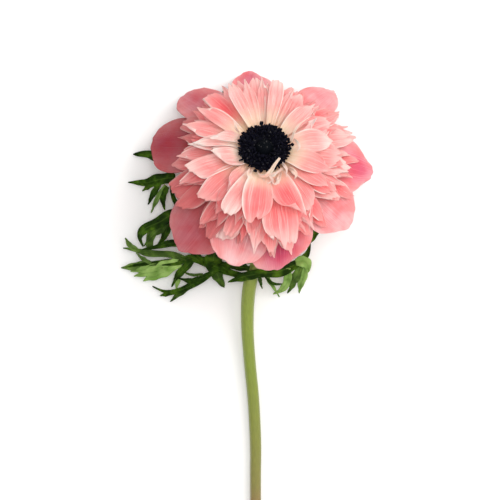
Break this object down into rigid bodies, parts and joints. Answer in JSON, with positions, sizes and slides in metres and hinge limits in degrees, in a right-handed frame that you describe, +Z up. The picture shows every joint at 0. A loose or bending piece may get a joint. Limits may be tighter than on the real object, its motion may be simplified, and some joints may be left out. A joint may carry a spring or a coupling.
{
  "type": "double anemone flower",
  "caption": "Cut double anemone lying face up: a domed head of pink petals round a black heart, a ruff of cut leaves and a bare stem.",
  "frame": {"origin": "on the surface that the flower lies on, under the middle of its bounding box", "axes": "+Y along the stem, from its cut end to the head; +Z up, out of the face of the flower; +X to the right of the head, seen from above"},
  "size_m": [0.1018, 0.1808, 0.0523],
  "materials": {
    "petal": "salmon-pink petal with a cream claw and a satin, veined surface",
    "tepal": "dusty rose to magenta outer tepal with a soft sheen",
    "leaf": "dark green leaf, paler underneath",
    "stem": "olive-green fleshy stem with fine down",
    "pistil": "blue-black, closely pimpled",
    "stamen": "blue-black anthers on dark filaments"
  },
  "bodies": {
    "root": {"inner_petal_a_1": "petal", "inner_petal_a_10": "petal", "inner_petal_a_11": "petal", "inner_petal_a_12": "petal", "inner_petal_a_2": "petal", "inner_petal_a_3": "petal", "inner_petal_a_4": "petal", "inner_petal_a_5": "petal", "inner_petal_a_6": "petal", "inner_petal_a_7": "petal", "inner_petal_a_8": "petal", "inner_petal_a_9": "petal", "inner_petal_b_1": "petal", "inner_petal_b_10": "petal", "inner_petal_b_11": "petal", "inner_petal_b_12": "petal", "inner_petal_b_2": "petal", "inner_petal_b_3": "petal", "inner_petal_b_4": "petal", "inner_petal_b_5": "petal", "inner_petal_b_6": "petal", "inner_petal_b_7": "petal", "inner_petal_b_8": "petal", "inner_petal_b_9": "petal", "inner_petal_c_1": "petal", "inner_petal_c_10": "petal", "inner_petal_c_11": "petal", "inner_petal_c_2": "petal", "inner_petal_c_3": "petal", "inner_petal_c_4": "petal", "inner_petal_c_5": "petal", "inner_petal_c_6": "petal", "inner_petal_c_7": "petal", "inner_petal_c_8": "petal", "inner_petal_c_9": "petal", "inner_petal_d_1": "petal", "inner_petal_d_10": "petal", "inner_petal_d_2": "petal", "inner_petal_d_3": "petal", "inner_petal_d_4": "petal", "inner_petal_d_5": "petal", "inner_petal_d_6": "petal", "inner_petal_d_7": "petal", "inner_petal_d_8": "petal", "inner_petal_d_9": "petal", "leaf_back": "leaf", "leaf_left": "leaf", "leaf_right": "leaf", "outer_tepal_back_1": "tepal", "outer_tepal_back_2": "tepal", "outer_tepal_back_3": "tepal", "outer_tepal_back_4": "tepal", "outer_tepal_back_5": "tepal", "outer_tepal_front_1": "tepal", "outer_tepal_front_2": "tepal", "outer_tepal_front_3": "tepal", "outer_tepal_front_4": "tepal", "pistil_head": "pistil", "stamens": "stamen", "stem": "stem"}
  },
  "joints": []
}
